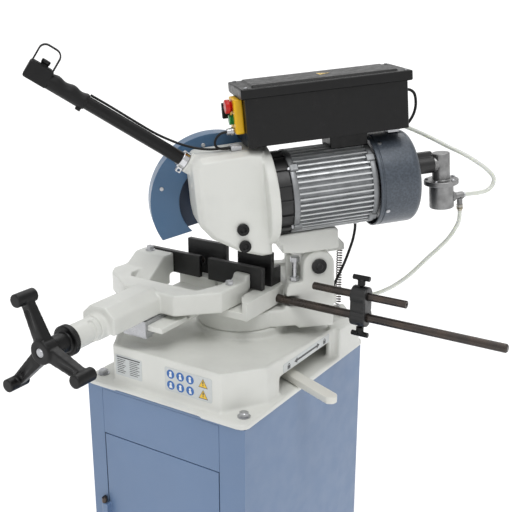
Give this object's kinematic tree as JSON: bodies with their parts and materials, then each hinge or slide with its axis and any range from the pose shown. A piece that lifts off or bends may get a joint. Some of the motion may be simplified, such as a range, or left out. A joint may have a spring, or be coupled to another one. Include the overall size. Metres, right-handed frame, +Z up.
{
  "type": "circular cold saw",
  "caption": "Swivelling circular cold saw on a cabinet stand, with worm gearbox, finned motor, blade guard, vise, length stop and coolant pump.",
  "frame": {"origin": "floor, centre of the cabinet's foot (centre of the four floor anchor holes)", "axes": "+X to the operator's right along the vise jaws, +Y to the rear, +Z up; the head is swivelled 45 degrees to the right at rest"},
  "size_m": [0.8728, 0.8694, 1.5134],
  "materials": {
    "cabinet": "satin powder coat",
    "casting": "textured off-white paint on cast iron",
    "black_iron": "black machined iron",
    "dark_steel": "black oxide",
    "steel": "zinc plated",
    "chrome": "polished",
    "guard": "satin",
    "aluminium": "cast, as extruded",
    "fan_grey": "hammered grey",
    "black_plastic": "moulded",
    "yellow_plastic": "moulded",
    "red_plastic": "moulded",
    "green_plastic": "moulded",
    "pump_grey": "cast",
    "hose": "translucent",
    "cable": "matt",
    "plate": "printed film",
    "lever": "satin"
  },
  "bodies": {
    "base": {"cabinet_shell": "cabinet", "cabinet_fascia": "cabinet", "door_hinge_pins": "dark_steel", "coolant_tank": "fan_grey", "base_casting": "casting", "base_bolts": "steel", "info_plates": "plate", "table_bed": "casting", "rear_jaw_left": "black_iron", "rear_jaw_right": "black_iron", "stop_rod": "dark_steel"},
    "cabinet_door": {"cabinet_door": "cabinet"},
    "door_latch": {"door_latch": "steel"},
    "lock_lever": {"lock_lever": "lever"},
    "turntable": {"turntable_yoke": "casting", "pivot_pin": "black_iron", "yoke_bolts": "steel", "return_spring": "dark_steel", "coolant_suction_hose": "hose", "supply_cable": "cable"},
    "vise_cross": {"vise_cross_slide": "steel"},
    "vise_ram": {"vise_fork": "casting", "front_jaw_left": "black_iron", "front_jaw_right": "black_iron", "jaw_bolts": "steel", "screw_sleeve": "casting"},
    "handwheel": {"handwheel": "black_iron", "vise_screw": "steel"},
    "stop_block": {"stop_block": "black_iron"},
    "stop_bar": {"stop_bar": "dark_steel"},
    "stop_knob_upper": {"stop_knob_upper": "black_plastic"},
    "stop_knob_lower": {"stop_knob_lower": "black_plastic"},
    "head": {"gearbox_housing": "casting", "oil_plugs": "black_plastic", "motor_adapter": "black_iron", "motor_body": "aluminium", "fan_cover": "fan_grey", "terminal_box": "black_plastic", "electrics_box": "black_plastic", "electrics_lid": "black_plastic", "box_bracket": "black_plastic", "switch_housing": "yellow_plastic", "cable_glands": "steel", "blade_guard": "guard", "handle_clamp": "chrome", "handle_tube": "black_plastic", "handle_grip": "black_plastic", "pump_bracket": "black_iron", "pump_body": "pump_grey", "coolant_feed_hose": "hose", "motor_cable": "cable", "panel_cable": "cable", "handle_cable": "cable"},
    "spindle": {"spindle": "steel"},
    "worm_shaft": {"worm_shaft": "steel"},
    "motor_rotor": {"motor_rotor": "steel"},
    "start_button": {"start_button": "green_plastic"},
    "stop_button": {"stop_button": "red_plastic"},
    "selector_knob": {"selector_knob": "black_plastic"},
    "trigger_button": {"trigger_button": "black_plastic"}
  },
  "joints": [
    {"name": "swivel", "type": "hinge", "parent": "base", "child": "turntable", "pos_m": [0, 0.041, 0.9], "axis": [0, 0, 1], "range_deg": [0, 75]},
    {"name": "head_pivot", "type": "hinge", "parent": "turntable", "child": "head", "pos_m": [0.1096, 0.1506, 1.03], "axis": [0.7071, -0.7071, 0], "range_deg": [0, 12.6], "deforming": ["return_spring"]},
    {"name": "spindle_spin", "type": "hinge", "parent": "head", "child": "spindle", "pos_m": [-0.0329, 0.0081, 1.16495], "axis": [0.7071, -0.7071, 0], "continuous": true},
    {"name": "worm_spin", "type": "hinge", "parent": "head", "child": "worm_shaft", "pos_m": [0.01607, -0.03485, 1.21953], "axis": [0.7044, 0.7044, 0.0872], "continuous": true},
    {"name": "motor_spin", "type": "hinge", "parent": "head", "child": "motor_rotor", "pos_m": [0.14509, 0.09416, 1.19935], "axis": [0.7044, 0.7044, 0.0872], "continuous": true},
    {"name": "start_press", "type": "slide", "parent": "head", "child": "start_button", "axis": [0.7044, 0.7044, 0.0872], "range_m": [0, 0.002], "stiffness_N_per_m": 300, "springref_m": -0.002},
    {"name": "stop_press", "type": "slide", "parent": "head", "child": "stop_button", "axis": [0.7044, 0.7044, 0.0872], "range_m": [0, 0.002], "stiffness_N_per_m": 300, "springref_m": -0.002},
    {"name": "selector_turn", "type": "hinge", "parent": "head", "child": "selector_knob", "pos_m": [0.00805, 0.01227, 1.36248], "axis": [0.7044, 0.7044, 0.0872], "range_deg": [-45, 45]},
    {"name": "trigger_press", "type": "slide", "parent": "head", "child": "trigger_button", "axis": [-0.3851, -0.3851, -0.8387], "range_m": [0, 0.0035], "stiffness_N_per_m": 300, "springref_m": -0.002},
    {"name": "lock_swing", "type": "hinge", "parent": "base", "child": "lock_lever", "pos_m": [0, 0.041, 0.82], "axis": [0, 0, 1], "range_deg": [0, 32]},
    {"name": "vise_shift", "type": "slide", "parent": "base", "child": "vise_cross", "axis": [1, 0, 0], "range_m": [-0.05, 0]},
    {"name": "vise_travel", "type": "slide", "parent": "vise_cross", "child": "vise_ram", "axis": [0, 1, 0], "range_m": [-0.085, 0.018]},
    {"name": "handwheel_turn", "type": "hinge", "parent": "vise_ram", "child": "handwheel", "pos_m": [-0.099, -0.44, 0.972], "axis": [0, 1, 0], "range_deg": [-6200, 1400]},
    {"name": "stop_slide", "type": "slide", "parent": "base", "child": "stop_block", "axis": [1, 0, 0], "range_m": [-0.024, 0.28]},
    {"name": "bar_slide", "type": "slide", "parent": "stop_block", "child": "stop_bar", "axis": [1, 0, 0], "range_m": [-0.02, 0.06]},
    {"name": "knob_upper_turn", "type": "hinge", "parent": "stop_block", "child": "stop_knob_upper", "pos_m": [0.291, 0.05, 1.015], "axis": [0, 0, 1], "range_deg": [-180, 180]},
    {"name": "knob_lower_turn", "type": "hinge", "parent": "stop_block", "child": "stop_knob_lower", "pos_m": [0.291, 0.05, 0.93], "axis": [0, 0, 1], "range_deg": [-180, 180]},
    {"name": "door_swing", "type": "hinge", "parent": "base", "child": "cabinet_door", "pos_m": [-0.164, -0.2565, 0.4], "axis": [0, 0, -1], "range_deg": [0, 100]},
    {"name": "latch_turn", "type": "hinge", "parent": "cabinet_door", "child": "door_latch", "pos_m": [0.112, -0.2485, 0.44], "axis": [0, 1, 0], "range_deg": [0, 90]}
  ],
  "couplings": [
    {"joint": "handwheel_turn", "follows": "vise_travel", "rad_per_m": 1256.6},
    {"joint": "worm_spin", "follows": "motor_spin", "ratio": -0.382},
    {"joint": "spindle_spin", "follows": "motor_spin", "ratio": 0.0191}
  ]
}
